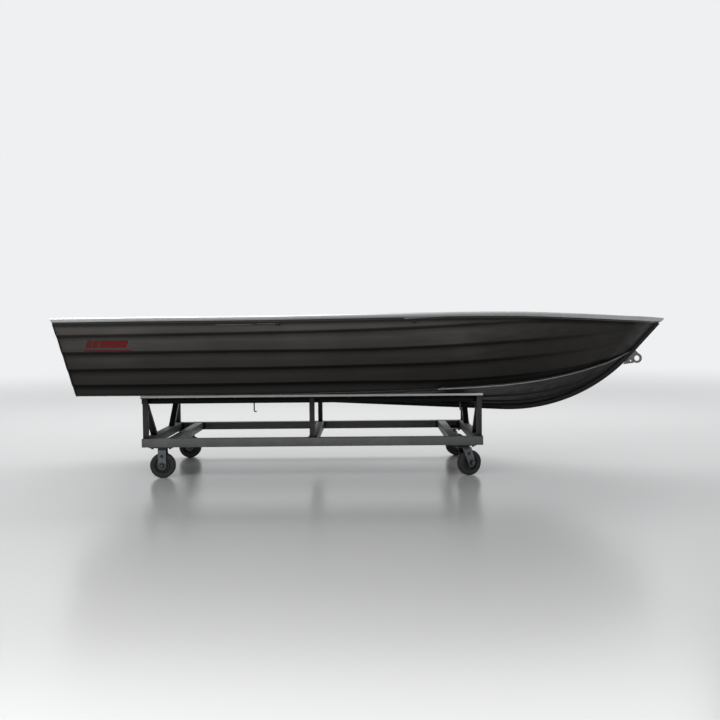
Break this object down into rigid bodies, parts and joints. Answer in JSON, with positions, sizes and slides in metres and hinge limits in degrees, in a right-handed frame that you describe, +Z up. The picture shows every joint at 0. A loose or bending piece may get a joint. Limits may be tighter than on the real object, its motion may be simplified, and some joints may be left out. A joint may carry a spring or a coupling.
{
  "type": "aluminium dinghy on a rolling cradle",
  "caption": "Open V-bow aluminium dinghy with stepped sides, bench seats and an outboard transom, standing on a steel cradle with castors.",
  "frame": {"origin": "on the floor under the middle of the whole object's box", "axes": "+X towards the bow, +Y to port, +Z up; the cradle stands level and the boat lies on it 2.8 degrees bow down"},
  "size_m": [3.6936, 1.5228, 0.9714],
  "materials": {
    "axle_steel": "zinc plated",
    "bunk_strip": "pale matt",
    "cast_aluminium": "satin casting",
    "clamp_pad": "black coated plywood",
    "cradle_steel": "satin grey-green paint",
    "extrusion": "satin",
    "hull_aluminium": "dull mill finish",
    "tyre_rubber": "black, worn",
    "wheel_hub": "dark",
    "zinc_steel": "zinc plated"
  },
  "bodies": {
    "root": {"aft_bench": "hull_aluminium", "angle_rails": "cradle_steel", "bottom_panel_port": "hull_aluminium", "bottom_panel_stbd": "hull_aluminium", "bottom_rails": "cradle_steel", "bow_bench": "hull_aluminium", "bow_deck": "hull_aluminium", "bow_eye": "cast_aluminium", "braces": "cradle_steel", "bunk_strips": "bunk_strip", "caster_plates": "zinc_steel", "clamp_pads": "clamp_pad", "corner_knees": "hull_aluminium", "cross_members": "cradle_steel", "floor_ribs": "hull_aluminium", "gunwale_port": "extrusion", "gunwale_stbd": "extrusion", "keel_strip": "hull_aluminium", "lashing_hooks": "zinc_steel", "middle_bench": "hull_aluminium", "posts": "cradle_steel", "rowlock_blocks": "cast_aluminium", "side_panel_port": "hull_aluminium", "side_panel_stbd": "hull_aluminium", "spray_rails": "extrusion", "stem_bar": "hull_aluminium", "stern_axles": "axle_steel", "stern_forks": "zinc_steel", "transom": "hull_aluminium", "transom_cap": "extrusion", "transom_knees": "hull_aluminium"},
    "stern_wheel_port": {"stern_tyre_port": "tyre_rubber", "stern_hub_port": "wheel_hub"},
    "bow_swivel_port": {"bow_fork_port": "zinc_steel", "bow_axle_port": "axle_steel"},
    "bow_wheel_port": {"bow_tyre_port": "tyre_rubber", "bow_hub_port": "wheel_hub"},
    "stern_wheel_stbd": {"stern_tyre_stbd": "tyre_rubber", "stern_hub_stbd": "wheel_hub"},
    "bow_swivel_stbd": {"bow_fork_stbd": "zinc_steel", "bow_axle_stbd": "axle_steel"},
    "bow_wheel_stbd": {"bow_tyre_stbd": "tyre_rubber", "bow_hub_stbd": "wheel_hub"}
  },
  "joints": [
    {"name": "stern_wheel_port_spin", "type": "hinge", "parent": "root", "child": "stern_wheel_port", "pos_m": [-1.276, 0.41, 0.075], "axis": [0, 1, 0], "continuous": true},
    {"name": "bow_swivel_port_turn", "type": "hinge", "parent": "root", "child": "bow_swivel_port", "pos_m": [0.52, 0.41, 0.177], "axis": [0, 0, 1], "continuous": true},
    {"name": "bow_wheel_port_spin", "type": "hinge", "parent": "bow_swivel_port", "child": "bow_wheel_port", "pos_m": [0.55961, 0.41557, 0.075], "axis": [-0.1392, 0.9903, 0], "continuous": true},
    {"name": "stern_wheel_stbd_spin", "type": "hinge", "parent": "root", "child": "stern_wheel_stbd", "pos_m": [-1.276, -0.41, 0.075], "axis": [0, 1, 0], "continuous": true},
    {"name": "bow_swivel_stbd_turn", "type": "hinge", "parent": "root", "child": "bow_swivel_stbd", "pos_m": [0.52, -0.41, 0.177], "axis": [0, 0, 1], "continuous": true},
    {"name": "bow_wheel_stbd_spin", "type": "hinge", "parent": "bow_swivel_stbd", "child": "bow_wheel_stbd", "pos_m": [0.55532, -0.39122, 0.075], "axis": [-0.4695, 0.8829, 0], "continuous": true}
  ]
}
